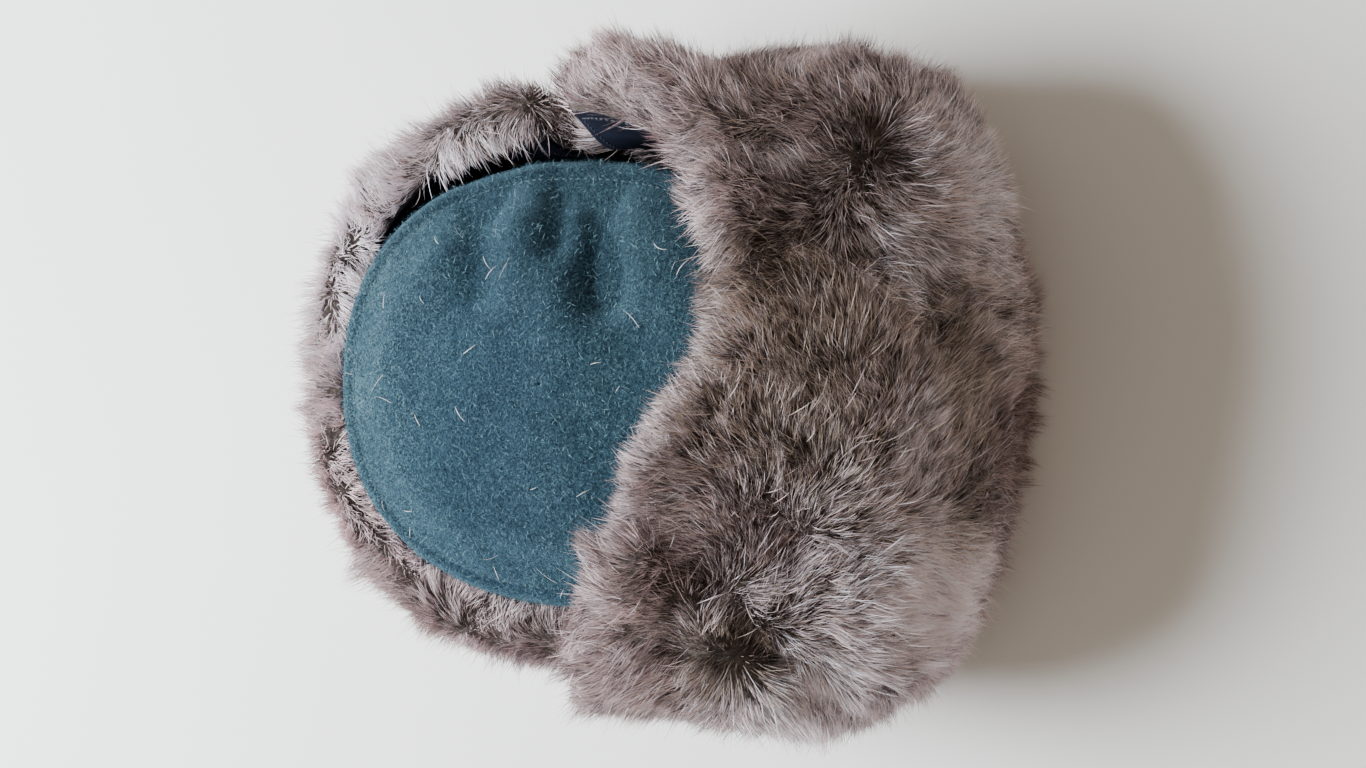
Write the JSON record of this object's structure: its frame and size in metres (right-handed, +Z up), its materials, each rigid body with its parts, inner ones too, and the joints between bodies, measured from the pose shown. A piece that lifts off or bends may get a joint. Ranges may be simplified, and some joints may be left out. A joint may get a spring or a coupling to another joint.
{
  "type": "trapper hat",
  "caption": "Felt-crowned trapper hat standing on its rim, with fur-faced front, ear and neck flaps folded up and hinged at the rim.",
  "frame": {"origin": "on the plane that the rim rests on, below the centre of the hat's bounding box", "axes": "+Z up through the crown, front of the hat towards -Y, wearer's left towards +X"},
  "size_m": [0.2645, 0.2945, 0.1738],
  "materials": {
    "felt": "matt heathered teal wool felt",
    "fur": "grey-brown rabbit fur",
    "satin": "dark navy satin",
    "wadding": "loose grey wadding",
    "stiffener": "matt woven interlining",
    "ribbon": "ribbed ribbon",
    "black_metal": "gloss black lacquer"
  },
  "bodies": {
    "crown": {"crown_top_panel": "felt", "crown_side_left": "felt", "crown_side_right": "felt", "rim_band": "felt", "crown_top_wadding": "wadding", "crown_side_wadding": "wadding", "lining_top": "satin", "lining_side": "satin", "sweatband": "ribbon", "crown_stud_left": "black_metal", "crown_stud_right": "black_metal"},
    "front_flap": {"front_flap_backing": "satin", "front_flap_interlining": "stiffener", "front_flap_pelt": "fur"},
    "ear_flap_left": {"ear_flap_left_backing": "satin", "ear_flap_left_interlining": "stiffener", "ear_flap_pelt_left": "fur", "ear_socket_left": "black_metal", "ear_cap_left": "black_metal"},
    "ear_flap_right": {"ear_flap_right_backing": "satin", "ear_flap_right_interlining": "stiffener", "ear_flap_pelt_right": "fur", "ear_socket_right": "black_metal", "ear_cap_right": "black_metal"},
    "neck_flap": {"neck_flap_backing": "satin", "neck_flap_interlining": "stiffener", "neck_flap_pelt_left": "fur", "neck_flap_pelt_centre": "fur", "neck_flap_pelt_right": "fur"}
  },
  "joints": [
    {"name": "front_flap_fold", "type": "hinge", "parent": "crown", "child": "front_flap", "pos_m": [0, -0.1231, 0.005], "axis": [1, 0, 0], "range_deg": [0, 75]},
    {"name": "ear_flap_left_fold", "type": "hinge", "parent": "crown", "child": "ear_flap_left", "pos_m": [0.093, 0, 0.005], "axis": [0, 1, 0], "range_deg": [0, 150]},
    {"name": "ear_flap_right_fold", "type": "hinge", "parent": "crown", "child": "ear_flap_right", "pos_m": [-0.093, 0, 0.005], "axis": [0, -1, 0], "range_deg": [0, 150]},
    {"name": "neck_flap_fold", "type": "hinge", "parent": "crown", "child": "neck_flap", "pos_m": [0, 0.1149, 0.005], "axis": [-1, 0, 0], "range_deg": [0, 150]}
  ]
}
